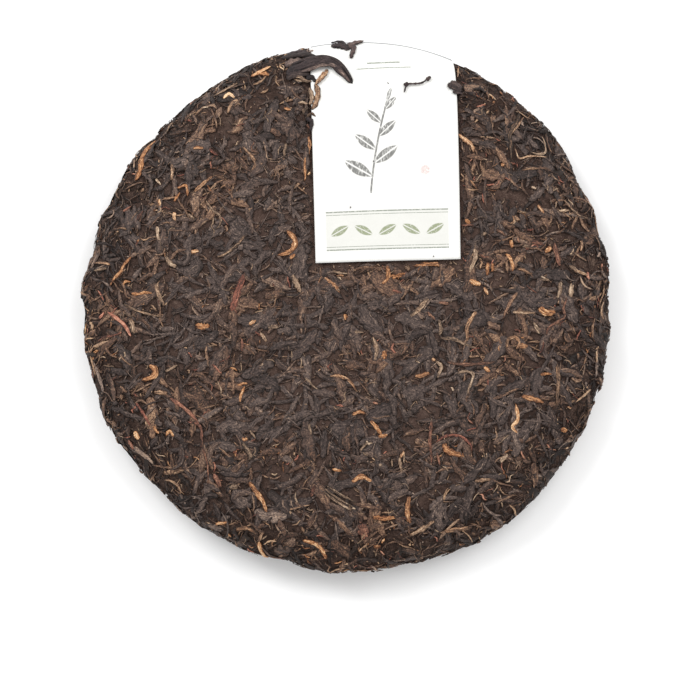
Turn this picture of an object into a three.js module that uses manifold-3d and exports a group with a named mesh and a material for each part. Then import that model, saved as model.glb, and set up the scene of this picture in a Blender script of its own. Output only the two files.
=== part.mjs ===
// A pressed cake of aged pu-erh tea: a round disc of dark leaves with a domed face, a rounded
// rim, a flat back and a dimple in the middle of the back. A paper ticket lies in its face and
// bends over its rim, and a few loose leaves lie on the paper.
//
// The cake lies on its back. +Z is up and +Y runs towards the ticket's upper end. The origin is
// on the ground below the middle of the cake. Lengths are in millimetres, angles in degrees.
import * as THREE from "three";
import { mergeVertices } from "three/addons/utils/BufferGeometryUtils.js";
import Module from "manifold-3d";

const wasm = await Module();
wasm.setup();

// The cake's driving dimensions.
const CAKE_RADIUS = 98.5;
const CAKE_THICKNESS = 24;
const RIM_HEIGHT = 10;
const DOME_POWER = 7;
const BACK_RADIUS = 80;
const DIMPLE_RADIUS = 27;
const DIMPLE_DEPTH = 9;
const FACE_STEPS = 60;

// Where the round skin's axis stands. It is a little off the origin, because the uneven outline
// reaches further one way and the origin is the middle of the whole.
const AXIS_PLACE = [1.4, -0.9];

// The outline isn't a true circle: it swells two ways like an oval, and three ways like a lobe.
const OVAL_SWELL = 0.7;
const OVAL_AZIMUTH = 64;
const LOBE_SWELL = 1.2;
const LOBE_AZIMUTH = 68;

// The crags of the pressed leaves: how far a point of the skin may stand in or out.
const FACE_CRAG = 0.45;
const RIM_CRAG = 1.1;
const RIM_START = 84;
const BED_DEPTH = 0.5;
const CORE_DETAIL = 13;

// The paper ticket. Its foot is the middle of its lower edge, as a place from the skin's axis.
const TICKET_WIDTH = 53.4;
const TICKET_LENGTH = 91.5;
const TICKET_FOOT = [14.3, 14.9];
const TICKET_LEAN = 1.6;
const PAPER_THICKNESS = 0.3;
const PAPER_GAP = 0.3;
const PAPER_WAVE = 0.15;
const PAPER_WAVE_LENGTH = 19;

// The strands of rolled leaf that stand out of the skin.
const STRAND_COUNT = 130;
const STRAND_LENGTH = [9, 17];
const STRAND_WIDTH = [1.7, 2.6];
const STRAND_FLATNESS = 0.62;
const STRAND_BEND = 70;
const STRAND_SIDES = 5;
const STRAND_RINGS = 5;
const STRAND_LOWEST = 2.5;
const GOLDEN_ANGLE = 180 * (3 - Math.sqrt(5));

const degrees = THREE.MathUtils.degToRad;

// A repeatable random number from low to high.
function seededRandom(seed) {
  let state = seed;
  return (low, high) => {
    state = (state * 1664525 + 1013904223) % 2 ** 32;
    return low + ((high - low) * state) / 2 ** 32;
  };
}

// The cake's half section, as [radius, height] from the middle of the face, over the rim and
// along the back, to the middle of the dimple.
function halfSection() {
  const points = [];
  for (let i = 0; i <= FACE_STEPS; i++) {
    const share = Math.sin((i / FACE_STEPS) * (Math.PI / 2));
    const dome = Math.sqrt(1 - share ** DOME_POWER);
    points.push([CAKE_RADIUS * share, RIM_HEIGHT + (CAKE_THICKNESS - RIM_HEIGHT) * dome]);
  }
  const edgeSteps = 16;
  for (let i = 1; i <= edgeSteps; i++) {
    const angle = (i / edgeSteps) * (Math.PI / 2);
    const radius = BACK_RADIUS + (CAKE_RADIUS - BACK_RADIUS) * Math.cos(angle);
    points.push([radius, RIM_HEIGHT * (1 - Math.sin(angle))]);
  }
  const dimpleSteps = 16;
  for (let i = 0; i <= dimpleSteps; i++) {
    const share = 1 - i / dimpleSteps;
    const height = (DIMPLE_DEPTH * (1 + Math.cos(Math.PI * share))) / 2;
    points.push([DIMPLE_RADIUS * share, height]);
  }
  return points;
}

const SECTION = halfSection();

// The length of section walked, and the area of skin passed, up to each point of the section.
const RUNS = [0];
const AREAS = [0];
for (let i = 1; i < SECTION.length; i++) {
  const [r0, z0] = SECTION[i - 1];
  const [r1, z1] = SECTION[i];
  const step = Math.hypot(r1 - r0, z1 - z0);
  RUNS.push(RUNS[i - 1] + step);
  AREAS.push(AREAS[i - 1] + Math.PI * (r0 + r1) * step);
}

const FACE_RADII = SECTION.slice(0, FACE_STEPS + 1).map(([radius]) => radius);

// The place of a value in a rising list: the stretch it falls in, and how far along that.
function placeIn(list, value) {
  let i = 1;
  while (i < list.length - 1 && list[i] < value) i++;
  const span = list[i] - list[i - 1];
  return [i, THREE.MathUtils.clamp((value - list[i - 1]) / span, 0, 1)];
}

// The run and turn of the face at a place [x, y] from the skin's axis, seen from above.
function onPlan([x, y]) {
  const turn = Math.atan2(y, x);
  const plan = Math.hypot(x, y);
  const radius = plan - swellAt(turn) * (plan / CAKE_RADIUS) ** 2;
  const [i, part] = placeIn(FACE_RADII, radius);
  return { run: THREE.MathUtils.lerp(RUNS[i - 1], RUNS[i], part), turn };
}

// The run at which a share of the whole skin has been passed, so that equal shares are equal areas.
function runAtShare(share) {
  const [i, part] = placeIn(AREAS, share * AREAS.at(-1));
  return THREE.MathUtils.lerp(RUNS[i - 1], RUNS[i], part);
}

// The outward normal of the section at one of its points, as [across, up].
function sectionNormal(i) {
  const [r0, z0] = SECTION[Math.max(i - 1, 0)];
  const [r1, z1] = SECTION[Math.min(i + 1, SECTION.length - 1)];
  const span = Math.hypot(r1 - r0, z1 - z0);
  return [-(z1 - z0) / span, (r1 - r0) / span];
}

// The section at a run: its radius, height and outward normal.
function sectionAt(run) {
  const [i, part] = placeIn(RUNS, run);
  const mix = (a, b) => a.map((value, k) => THREE.MathUtils.lerp(value, b[k], part));
  const [radius, height] = mix(SECTION[i - 1], SECTION[i]);
  const [across, up] = mix(sectionNormal(i - 1), sectionNormal(i));
  const size = Math.hypot(across, up);
  return { radius, height, across: across / size, up: up / size };
}

// How far the uneven outline stands outside the circle at an azimuth in radians.
function swellAt(azimuth) {
  const oval = OVAL_SWELL * Math.cos(2 * (azimuth - degrees(OVAL_AZIMUTH)));
  const lobes = LOBE_SWELL * Math.cos(3 * (azimuth - degrees(LOBE_AZIMUTH)));
  return oval + lobes;
}

// A point of the skin at a run from the middle of the face and a turn round the cake, lifted
// off the skin, and the normal there.
function onSkin(run, turn, lift = 0) {
  const place = sectionAt(run);
  const round = place.radius + swellAt(turn) * (place.radius / CAKE_RADIUS) ** 2;
  const radius = round + place.across * lift;
  const point = new THREE.Vector3(
    AXIS_PLACE[0] + radius * Math.cos(turn),
    AXIS_PLACE[1] + radius * Math.sin(turn),
    place.height + place.up * lift,
  );
  const normal = new THREE.Vector3(
    place.across * Math.cos(turn),
    place.across * Math.sin(turn),
    place.up,
  );
  return { point, normal };
}

// A place of the skin on the ticket's own axes, [across, along] from its lower left corner, as
// if the skin were unrolled from the middle of the face.
function onTicketAxes(run, turn) {
  const lean = degrees(TICKET_LEAN);
  const x = run * Math.cos(turn) - TICKET_FOOT[0];
  const y = run * Math.sin(turn) - TICKET_FOOT[1];
  const across = x * Math.cos(lean) + y * Math.sin(lean) + TICKET_WIDTH / 2;
  return [across, y * Math.cos(lean) - x * Math.sin(lean)];
}

// The skin's run and turn at a place on the ticket's axes.
function underTicket(across, along) {
  const lean = degrees(TICKET_LEAN);
  const u = across - TICKET_WIDTH / 2;
  const x = TICKET_FOOT[0] + u * Math.cos(lean) - along * Math.sin(lean);
  const y = TICKET_FOOT[1] + u * Math.sin(lean) + along * Math.cos(lean);
  return [Math.hypot(x, y), Math.atan2(y, x)];
}

// Whether a place of the skin is under the ticket, or within a margin of it.
function isUnderTicket(run, turn, margin) {
  const [across, along] = onTicketAxes(run, turn);
  const isWithin = (value, size) => value > -margin && value < size + margin;
  return isWithin(across, TICKET_WIDTH) && isWithin(along, TICKET_LENGTH);
}

// Keeps only the places of a geometry, joins those that coincide and drops collapsed faces.
function joined(geometry) {
  geometry.deleteAttribute("normal");
  geometry.deleteAttribute("uv");
  const merged = mergeVertices(geometry, 1e-4);
  const kept = [];
  const index = merged.index.array;
  for (let i = 0; i < index.length; i += 3) {
    const [a, b, c] = index.slice(i, i + 3);
    if (a !== b && b !== c && c !== a) kept.push(a, b, c);
  }
  merged.setIndex(kept);
  return merged;
}

// Moves each vertex of a geometry to where a function of its old place puts it.
function reshape(geometry, placeOf) {
  const places = geometry.attributes.position;
  const old = new THREE.Vector3();
  for (let i = 0; i < places.count; i++) {
    const moved = placeOf(old.fromBufferAttribute(places, i));
    places.setXYZ(i, moved.x, moved.y, moved.z);
  }
  return geometry;
}

function toSolid(geometry) {
  const mesh = new wasm.Mesh({
    numProp: 3,
    vertProperties: geometry.attributes.position.array,
    triVerts: new Uint32Array(geometry.index.array),
  });
  return new wasm.Manifold(mesh);
}

function toGeometry(solid) {
  const mesh = solid.getMesh();
  return new THREE.BufferGeometry()
    .setAttribute("position", new THREE.BufferAttribute(mesh.vertProperties, 3))
    .setIndex(new THREE.BufferAttribute(mesh.triVerts, 1));
}

// How far the core's skin stands in or out at a place. The back stays flat, and the ticket has
// a smooth bed that lies a little lower.
function cragAt(run, turn, random) {
  const { radius, height } = sectionAt(run);
  const isBack = height < CAKE_THICKNESS / 2 && radius < BACK_RADIUS + 1;
  if (isBack && radius > DIMPLE_RADIUS - 1) return 0;
  const onRim = THREE.MathUtils.smoothstep(radius, RIM_START, CAKE_RADIUS);
  const crag = random(-1, 1) * THREE.MathUtils.lerp(FACE_CRAG, RIM_CRAG, onRim);
  const bedMargin = 8;
  return isUnderTicket(run, turn, bedMargin) ? -BED_DEPTH : crag - FACE_CRAG;
}

// The pressed mass: a ball of even triangles, drawn out over the cake's skin so that each
// triangle keeps its share of the area.
function coreSolid() {
  const random = seededRandom(7);
  const ball = joined(new THREE.IcosahedronGeometry(1, CORE_DETAIL));
  return toSolid(
    reshape(ball, (vertex) => {
      const run = runAtShare((1 - vertex.z) / 2);
      const turn = Math.atan2(vertex.y, vertex.x);
      return onSkin(run, turn, cragAt(run, turn, random)).point;
    }),
  );
}

// The stations of a path that keeps to the skin. Its heading is measured from the way outwards
// along the section, and it bends evenly by so many degrees over its length.
function walk({ run, turn, heading, length, bend }) {
  const steps = 16;
  const stations = [{ run, turn }];
  const step = length / steps;
  let course = degrees(heading);
  for (let i = 0; i < steps; i++) {
    const here = sectionAt(run);
    const turned = (step * Math.sin(course)) / Math.max(here.radius, 3);
    run = Math.abs(run + step * Math.cos(course));
    turn += turned;
    course += degrees(bend) / steps - here.up * turned;
    stations.push({ run, turn });
  }
  return stations;
}

// A strand of leaf that lies along a path on the skin: a tapered rod of few sides, flattened
// and lifted as asked. Lift may change along the strand.
function strandGeometry(path, { width, thickness, lift = () => 0, sides = STRAND_SIDES }) {
  const profile = [new THREE.Vector2(0, 0)];
  for (let i = 1; i <= STRAND_RINGS; i++) {
    const along = i / (STRAND_RINGS + 1);
    profile.push(new THREE.Vector2(Math.sin(Math.PI * along) ** 0.5, along));
  }
  profile.push(new THREE.Vector2(0, 1));
  const rod = joined(new THREE.LatheGeometry(profile, sides));
  const stations = walk(path).map(({ run, turn }) => onSkin(run, turn));
  return reshape(rod, (vertex) => {
    const at = vertex.y * (stations.length - 1);
    const i = Math.min(Math.floor(at), stations.length - 2);
    const [a, b] = [stations[i], stations[i + 1]];
    const ahead = b.point.clone().sub(a.point).normalize();
    const up = a.normal.clone().lerp(b.normal, at - i).normalize();
    const side = ahead.clone().cross(up).normalize();
    return a.point
      .clone()
      .lerp(b.point, at - i)
      .addScaledVector(side, (vertex.x * width) / 2)
      .addScaledVector(up, (vertex.z * thickness) / 2 + lift(vertex.y));
  });
}

// Whether a strand may lie on a path: clear of the ticket, and above the rim's foot.
function isFree(path) {
  const ticketMargin = 2.2;
  return walk(path).every(({ run, turn }) => {
    const isAboveFoot = sectionAt(run).height > STRAND_LOWEST;
    return isAboveFoot && !isUnderTicket(run, turn, ticketMargin);
  });
}

// The strands that stand out, spread by equal areas and a golden angle over the face and the
// rim. The flat back has none.
function strandSolids() {
  const random = seededRandom(23);
  const footArea = AREAS[SECTION.findIndex(([, height]) => height < STRAND_LOWEST)];
  const footShare = footArea / AREAS.at(-1);
  const solids = [];
  for (let i = 0; i < STRAND_COUNT; i++) {
    const path = {
      run: runAtShare(((i + random(0.2, 0.8)) / STRAND_COUNT) * footShare),
      turn: degrees(i * GOLDEN_ANGLE + random(-8, 8)),
      heading: random(0, 360),
      length: random(...STRAND_LENGTH),
      bend: random(-STRAND_BEND, STRAND_BEND),
    };
    const width = random(...STRAND_WIDTH);
    const thickness = width * STRAND_FLATNESS;
    if (isFree(path)) solids.push(toSolid(strandGeometry(path, { width, thickness })));
  }
  return solids;
}

// The outer body of a solid, with the hollows that its pieces closed off filled in.
function outerBody(solid) {
  return solid.decompose().reduce((a, b) => (a.volume() > b.volume() ? a : b));
}

// The whole pressed cake: its core with the strands fused on.
function cakeGeometry() {
  return toGeometry(outerBody(wasm.Manifold.union([coreSolid(), ...strandSolids()])));
}

// A thin sheet with both faces split alike: a grid whose upper and lower skins are placed by a
// function of [across, along, side], where side is 1 above and -1 below.
function sheetGeometry(width, length, columns, rows, placeOf) {
  const grid = new THREE.PlaneGeometry(width, length, columns, rows);
  const flat = grid.attributes.position;
  const upper = Array.from(grid.index.array);
  const count = flat.count;
  const places = [];
  for (const side of [1, -1]) {
    for (let i = 0; i < count; i++) {
      const point = placeOf(flat.getX(i) + width / 2, flat.getY(i) + length / 2, side);
      places.push(point.x, point.y, point.z);
    }
  }
  const faces = [...upper];
  for (let i = 0; i < upper.length; i += 3) {
    faces.push(upper[i] + count, upper[i + 2] + count, upper[i + 1] + count);
  }
  const rim = [];
  for (let i = 0; i < rows; i++) rim.push(i * (columns + 1));
  for (let i = 0; i < columns; i++) rim.push(rows * (columns + 1) + i);
  for (let i = rows; i > 0; i--) rim.push(i * (columns + 1) + columns);
  for (let i = columns; i > 0; i--) rim.push(i);
  rim.forEach((a, i) => {
    const b = rim[(i + 1) % rim.length];
    faces.push(a, a + count, b + count, a, b + count, b);
  });
  return new THREE.BufferGeometry()
    .setAttribute("position", new THREE.Float32BufferAttribute(places, 3))
    .setIndex(faces);
}

// The ticket: paper that follows the face, bends over the rim and ends low on the rim's side.
function ticketGeometry() {
  return sheetGeometry(TICKET_WIDTH, TICKET_LENGTH, 11, 26, (across, along, side) => {
    const wave = Math.sin((across + 0.6 * along) / PAPER_WAVE_LENGTH * Math.PI);
    const middle = PAPER_GAP + PAPER_THICKNESS / 2 + PAPER_WAVE * (1 + wave);
    const lift = middle + (side * PAPER_THICKNESS) / 2;
    return onSkin(...underTicket(across, along), lift).point;
  });
}

// A blade of a loose leaf on the paper, between two places [x, y] from the skin's axis, seen
// from above. It bends evenly by so many degrees, and arches off the paper by its rise.
function bladeSolid({ from, to, bend, width, thickness, rise }) {
  const [start, end] = [onPlan(from), onPlan(to)];
  const across = end.run * Math.cos(end.turn) - start.run * Math.cos(start.turn);
  const along = end.run * Math.sin(end.turn) - start.run * Math.sin(start.turn);
  const halfBend = degrees(bend) / 2;
  const course = Math.atan2(along, across) - halfBend - start.turn;
  const heading = THREE.MathUtils.radToDeg(course);
  const length = (Math.hypot(across, along) * halfBend) / Math.sin(halfBend);
  const paperTop = PAPER_GAP + PAPER_THICKNESS + 2 * PAPER_WAVE;
  const lowest = paperTop + PAPER_GAP + thickness / 2;
  const lift = (share) => lowest + rise * Math.sin(Math.PI * share);
  const shape = { width, thickness, lift, sides: 6 };
  return toSolid(strandGeometry({ ...start, heading, length, bend }, shape));
}

// The loose leaves on the paper, each with the blades that it is made of.
const LOOSE_LEAVES = {
  leaf_arching: [
    { from: [-22.7, 86.5], to: [2.2, 81.9], bend: -74, width: 4.4, thickness: 1.2, rise: 1.8 },
  ],
  leaf_at_rim: [
    { from: [-6.8, 94.6], to: [1.4, 94.2], bend: 16, width: 3.4, thickness: 1, rise: 0.3 },
    { from: [-1.4, 93.6], to: [5.6, 96.6], bend: 24, width: 3.2, thickness: 1, rise: 0.4 },
    { from: [1.4, 94.8], to: [-0.2, 90.6], bend: -12, width: 1.8, thickness: 0.9, rise: 0.2 },
  ],
  leaf_twisted: [
    { from: [20, 77.9], to: [22.6, 82.3], bend: -18, width: 1.3, thickness: 0.9, rise: 0.2 },
    { from: [21, 81], to: [29.6, 82.6], bend: 20, width: 1.1, thickness: 0.9, rise: 0.3 },
    { from: [27.8, 82], to: [29.8, 84.6], bend: 24, width: 2, thickness: 1, rise: 0.2 },
  ],
  leaf_chip: [
    { from: [44.6, 80.4], to: [36.2, 83.4], bend: 14, width: 3.6, thickness: 1, rise: 0.2 },
  ],
  stem_at_corner: [
    { from: [-14.4, 79], to: [-7.9, 86.6], bend: -14, width: 1.7, thickness: 1, rise: 0.6 },
  ],
};

function looseLeafGeometry(blades) {
  return toGeometry(outerBody(wasm.Manifold.union(blades.map(bladeSolid))));
}

const TEA = new THREE.MeshStandardMaterial({ color: 0x54463e, roughness: 0.75 });
const PAPER = new THREE.MeshStandardMaterial({ color: 0xf5f3ec, roughness: 0.9 });
const DARK_LEAF = new THREE.MeshStandardMaterial({ color: 0x3f3230, roughness: 0.6 });
const GOLDEN_STEM = new THREE.MeshStandardMaterial({ color: 0x8a6a48, roughness: 0.6 });

function addMesh(group, name, geometry, material) {
  const mesh = new THREE.Mesh(geometry, material);
  mesh.name = name;
  group.add(mesh);
}

const teaCake = new THREE.Group();
addMesh(teaCake, "cake", cakeGeometry(), TEA);
addMesh(teaCake, "ticket", ticketGeometry(), PAPER);
for (const [name, blades] of Object.entries(LOOSE_LEAVES)) {
  const material = name.startsWith("stem") ? GOLDEN_STEM : DARK_LEAF;
  addMesh(teaCake, name, looseLeafGeometry(blades), material);
}

export default teaCake;
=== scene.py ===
"""A pressed cake of aged pu-erh tea that lies on its back, seen from almost straight above.

The cake is a dark core with thousands of real leaves laid over its skin: flat leaves pressed
flush with the face and the back, rolled strands, light veins, golden tips and crumbs. The strands
that stand out in the photograph lie where it shows them. A paper ticket lies in the face and
bends over the rim, and a few loose leaves lie on the paper.
"""
import math
from functools import partialmethod, reduce

import bmesh
import bpy
import numpy as np
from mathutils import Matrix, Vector, noise


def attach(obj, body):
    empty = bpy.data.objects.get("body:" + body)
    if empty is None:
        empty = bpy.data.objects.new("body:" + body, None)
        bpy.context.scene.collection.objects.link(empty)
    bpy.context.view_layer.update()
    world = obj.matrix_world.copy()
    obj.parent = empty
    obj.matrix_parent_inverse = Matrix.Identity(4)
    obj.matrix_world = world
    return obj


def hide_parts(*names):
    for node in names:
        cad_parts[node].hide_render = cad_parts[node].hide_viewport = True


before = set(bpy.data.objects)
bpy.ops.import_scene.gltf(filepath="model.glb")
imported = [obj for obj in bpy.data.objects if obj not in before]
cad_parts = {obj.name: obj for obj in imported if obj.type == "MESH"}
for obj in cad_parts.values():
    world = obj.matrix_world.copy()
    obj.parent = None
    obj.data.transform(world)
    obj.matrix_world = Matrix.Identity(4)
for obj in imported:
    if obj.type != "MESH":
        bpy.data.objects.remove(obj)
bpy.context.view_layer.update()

MM, CM = 0.001, 0.01
GOLDEN_ANGLE = math.pi * (3 - math.sqrt(5))

# The cake's driving sizes. They are those of the solids.
CAKE_RADIUS = 98.5 * MM
CAKE_THICKNESS = 24 * MM
RIM_HEIGHT = 10 * MM
DOME_POWER = 7
BACK_RADIUS = 80 * MM
DIMPLE_RADIUS = 27 * MM
DIMPLE_DEPTH = 9 * MM
AXIS_PLACE = (1.4 * MM, -0.9 * MM)
OVAL_SWELL = 0.7 * MM
OVAL_AZIMUTH = math.radians(64)
LOBE_SWELL = 1.2 * MM
LOBE_AZIMUTH = math.radians(68)

# The ticket's driving sizes.
TICKET_WIDTH = 53.4 * MM
TICKET_LENGTH = 91.5 * MM
TICKET_FOOT = (14.3 * MM, 14.9 * MM)
TICKET_LEAN = math.radians(1.6)
PAPER_GAP = 0.3 * MM
PAPER_THICKNESS = 0.25 * MM
PAPER_WAVE = 0.12 * MM

# The leaf grows looser over a band where the face turns down into the rim. The skin is sunk below
# the ticket, and comes up to its own height over an edge outside it. The zone of the back starts a
# little outside the flat back, and the relief fades before it.
LOOSE_RADIUS, LOOSE_BAND = 87 * MM, 12 * MM
BED_DEPTH, BED_EDGE = 0.6 * MM, 3 * MM
BACK_MARGIN, BACK_FADE = 3 * MM, 6 * MM

# How deep the core lies under the skin, how deep at least under the back, and how high it is cragged.
CORE_DEPTH, CORE_BACK_DEPTH, CRAG_HEIGHT = 0.38 * MM, 0.16 * MM, 0.4 * MM

# The shortest and longest waves of the skin's relief, and of the patches of tone and warmth.
RELIEF_WAVES = (9 * MM, 34 * MM)
PATCH_WAVES = (6 * MM, 30 * MM)

# Painted shade: a leaf's bottom is darker by one tone on the face, and by the other more where it lies
# loose, as shade where it dips into the mass. The leaves that are pressed hardest have lower tops, and
# come near to one tone and one hue.
DEEP_PAINTED_SHADE, LOOSE_PAINTED_SHADE = 0.12, 0.34
PRESSED_TOP, CALM_SHARE, CALM_TONE, CALM_HUE = 0.4, 0.45, 0.41, 0.3

# A leaf has its own width where it is pressed this hard. One that the ticket leaves less of than a
# share of its kind's shortest length is left out.
USUAL_PRESS, LEAST_SHARE = 0.6, 0.4

# Leaf below this height is pressed together, so that none of it reaches through the flat back.
FLOOR_PRESS = 0.2 * MM

# The photograph's frame, and the middle and radius of the cake in it, in pixels.
FRAME_WIDTH, FRAME_HEIGHT = 700, 699
CAKE_MIDDLE = (349.3, 305.6)
CAKE_REACH = 263.6
CAMERA_ELEVATION = math.radians(85)
LENS, SENSOR = 100, 36

# The camera looks at the widest height of the cake, from as far off as gives it that radius.
PIXEL = CAKE_RADIUS / CAKE_REACH
VIEW_DISTANCE = PIXEL * FRAME_WIDTH * LENS / SENSOR
VIEW_RIGHT = np.array([1.0, 0.0, 0.0])
VIEW_UP = np.array([0.0, math.sin(CAMERA_ELEVATION), math.cos(CAMERA_ELEVATION)])
VIEW_BACK = np.array([0.0, -math.cos(CAMERA_ELEVATION), math.sin(CAMERA_ELEVATION)])
VIEW_TARGET = (
    np.array([*AXIS_PLACE, RIM_HEIGHT])
    + VIEW_RIGHT * (FRAME_WIDTH / 2 - CAKE_MIDDLE[0]) * PIXEL
    + VIEW_UP * (CAKE_MIDDLE[1] - FRAME_HEIGHT / 2) * PIXEL
)
VIEW_PLACE = VIEW_TARGET + VIEW_BACK * VIEW_DISTANCE


def half_section():
    """The cake's half section, as rows of radius and height: face, rim, back and dimple."""
    share = np.sin(np.linspace(0, math.pi / 2, 61))
    dome = np.sqrt(1 - share**DOME_POWER)
    face = CAKE_RADIUS * share, RIM_HEIGHT + (CAKE_THICKNESS - RIM_HEIGHT) * dome
    edge = np.linspace(0, math.pi / 2, 17)[1:]
    under = BACK_RADIUS + (CAKE_RADIUS - BACK_RADIUS) * np.cos(edge), RIM_HEIGHT * (1 - np.sin(edge))
    inward = np.linspace(1, 0, 17)
    dimple = DIMPLE_RADIUS * inward, DIMPLE_DEPTH * (1 + np.cos(math.pi * inward)) / 2
    return np.concatenate([np.stack(part, 1) for part in (face, under, dimple)])


SECTION = half_section()
STEPS = np.linalg.norm(np.diff(SECTION, axis=0), axis=1)
RUNS = np.concatenate([[0], np.cumsum(STEPS)])
AREAS = np.concatenate([[0], np.cumsum(np.pi * (SECTION[1:, 0] + SECTION[:-1, 0]) * STEPS)])
SLOPES = np.gradient(SECTION, axis=0)
NORMALS = np.stack([-SLOPES[:, 1], SLOPES[:, 0]], 1) / np.linalg.norm(SLOPES, axis=1)[:, None]
WIDEST = int(np.argmax(SECTION[:, 0]))


def run_at_radius(radius, on_back=False):
    """The run of the face, or of the back, at a radius."""
    if on_back:
        return np.interp(-radius, -SECTION[WIDEST:, 0], RUNS[WIDEST:])
    return np.interp(radius, SECTION[: WIDEST + 1, 0], RUNS[: WIDEST + 1])


LOOSE_RUN = float(run_at_radius(LOOSE_RADIUS))
BACK_RUN = float(run_at_radius(BACK_RADIUS + BACK_MARGIN, on_back=True))

# The face, the rim and the back, as their inner and outer runs.
ZONES = ((0.0, LOOSE_RUN), (LOOSE_RUN, BACK_RUN), (BACK_RUN, float(RUNS[-1])))


def section_at(run):
    """Radius, height and outward normal of the section at each run."""
    columns = np.concatenate([SECTION, NORMALS], 1).T
    return [np.interp(run, RUNS, column) for column in columns]


def swell_at(turn):
    """How far the uneven outline stands outside the circle."""
    oval = OVAL_SWELL * np.cos(2 * (turn - OVAL_AZIMUTH))
    return oval + LOBE_SWELL * np.cos(3 * (turn - LOBE_AZIMUTH))


def on_skin(run, turn):
    """Points of the skin at each run and turn, and the outward normals there."""
    radius, height, across, up = section_at(run)
    wide = radius + swell_at(turn) * (radius / CAKE_RADIUS) ** 2
    x, y = np.cos(turn), np.sin(turn)
    points = np.stack([AXIS_PLACE[0] + wide * x, AXIS_PLACE[1] + wide * y, height], -1)
    normals = np.stack([across * x, across * y, up], -1)
    return points, normals / np.linalg.norm(normals, axis=-1, keepdims=True)


def on_plan(x, y):
    """The runs and turns of the face at places from the skin's axis, seen from above."""
    turn, plan = np.arctan2(y, x), np.hypot(x, y)
    radius = plan - swell_at(turn) * (plan / CAKE_RADIUS) ** 2
    return run_at_radius(np.minimum(radius, CAKE_RADIUS - 0.5 * MM)), turn


def seen_at(pixels):
    """The runs and turns of the face at what the photograph shows at some pixels."""
    right = (pixels[..., 0] - FRAME_WIDTH / 2) * PIXEL
    up = (FRAME_HEIGHT / 2 - pixels[..., 1]) * PIXEL
    ray = right[..., None] * VIEW_RIGHT + up[..., None] * VIEW_UP - VIEW_BACK * VIEW_DISTANCE
    height = CAKE_THICKNESS
    for _ in range(6):
        place = VIEW_PLACE + ray * ((height - VIEW_PLACE[2]) / ray[..., 2])[..., None]
        run, turn = on_plan(place[..., 0] - AXIS_PLACE[0], place[..., 1] - AXIS_PLACE[1])
        height = section_at(run)[1]
    return run, turn


def smooth_line(points, steps):
    """Places along a smooth line through a few points."""
    points = np.array(points, float)
    ends = np.concatenate([[2 * points[0] - points[1]], points, [2 * points[-1] - points[-2]]])
    at = np.linspace(0, len(points) - 1, steps + 1)
    i = np.minimum(at.astype(int), len(points) - 2)
    t = (at - i)[:, None]
    a, b, c, d = (ends[i + k] for k in range(4))
    return b + t / 2 * (c - a + t * (2 * a - 5 * b + 4 * c - d + t * (3 * b - a - 3 * c + d)))


def ticket_axes(run, turn):
    """Places of the skin on the ticket's own axes, across and along from its lower left."""
    x = run * np.cos(turn) - TICKET_FOOT[0]
    y = run * np.sin(turn) - TICKET_FOOT[1]
    cos, sin = math.cos(TICKET_LEAN), math.sin(TICKET_LEAN)
    return x * cos + y * sin + TICKET_WIDTH / 2, y * cos - x * sin


def under_ticket(across, along):
    """The skin's run and turn at a place on the ticket's axes."""
    side = across - TICKET_WIDTH / 2
    cos, sin = math.cos(TICKET_LEAN), math.sin(TICKET_LEAN)
    x = TICKET_FOOT[0] + side * cos - along * sin
    y = TICKET_FOOT[1] + side * sin + along * cos
    return np.hypot(x, y), np.arctan2(y, x)


def inside_ticket(run, turn):
    """How deep each place lies inside the ticket's outline, less than 0 outside it."""
    across, along = ticket_axes(run, turn)
    return np.minimum(np.minimum(across, TICKET_WIDTH - across), np.minimum(along, TICKET_LENGTH - along))


def patches(points, lengths, seed, waves=26):
    """A soft uneven field over the skin, mostly from -1 to 1, with waves of a range of lengths."""
    draw = np.random.default_rng(seed)
    field = np.zeros(points.shape[:-1])
    for _ in range(waves):
        direction = draw.normal(size=3)
        length = draw.uniform(*lengths)
        phase = points @ (direction / np.linalg.norm(direction)) * 2 * math.pi / length
        field += np.sin(phase + draw.uniform(0, 2 * math.pi))
    return field / math.sqrt(waves / 2)


def warm_patches(points):
    """The field of warmer and cooler patches that the leaves lie in. It is coolest in the middle."""
    outwards = np.hypot(points[..., 0], points[..., 1]) / CAKE_RADIUS
    return patches(points, PATCH_WAVES, seed=6) + 0.9 * outwards**2 - 0.5


def looseness(run):
    """0 on the pressed face and back, and 1 on the rim, where the leaf lies looser."""
    inside = np.minimum(run - LOOSE_RUN, BACK_RUN - run)
    return np.clip((inside + LOOSE_BAND / 2) / LOOSE_BAND, 0, 1)


def hard_pressed(run):
    """1 in the middle of the face, where the leaf is pressed hardest, and 0 at its outside."""
    return np.clip(1 - run / LOOSE_RUN, 0, 1)


def relief(points, run, turn):
    """How far the pressed skin rises and sinks: gently on the face, more on the rim."""
    height = patches(points, RELIEF_WAVES, seed=3)
    on_back = np.clip((run - BACK_RUN) / BACK_FADE + 1, 0, 1)
    depth = (0.16 + 0.3 * looseness(run) * (1 - on_back)) * MM
    bed = np.clip(inside_ticket(run, turn) / BED_EDGE + 1, 0, 1)
    return height * depth * (1 - bed) * (1 - on_back) - BED_DEPTH * bed


def walk(path, steps):
    """The stations of paths that keep to the skin, as runs and turns, a row for each path."""
    run, turn, course = path["run"], path["turn"], path["heading"]
    step = path["length"] / steps
    runs, turns = [run], [turn]
    for _ in range(steps):
        radius, _, _, up = section_at(run)
        turned = step * np.sin(course) / np.maximum(radius, 3 * MM)
        run = np.abs(run + step * np.cos(course))
        turn = turn + turned
        course = course + path["bend"] / steps - up * turned
        runs.append(run)
        turns.append(turn)
    return np.stack(runs, 1), np.stack(turns, 1)


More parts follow.
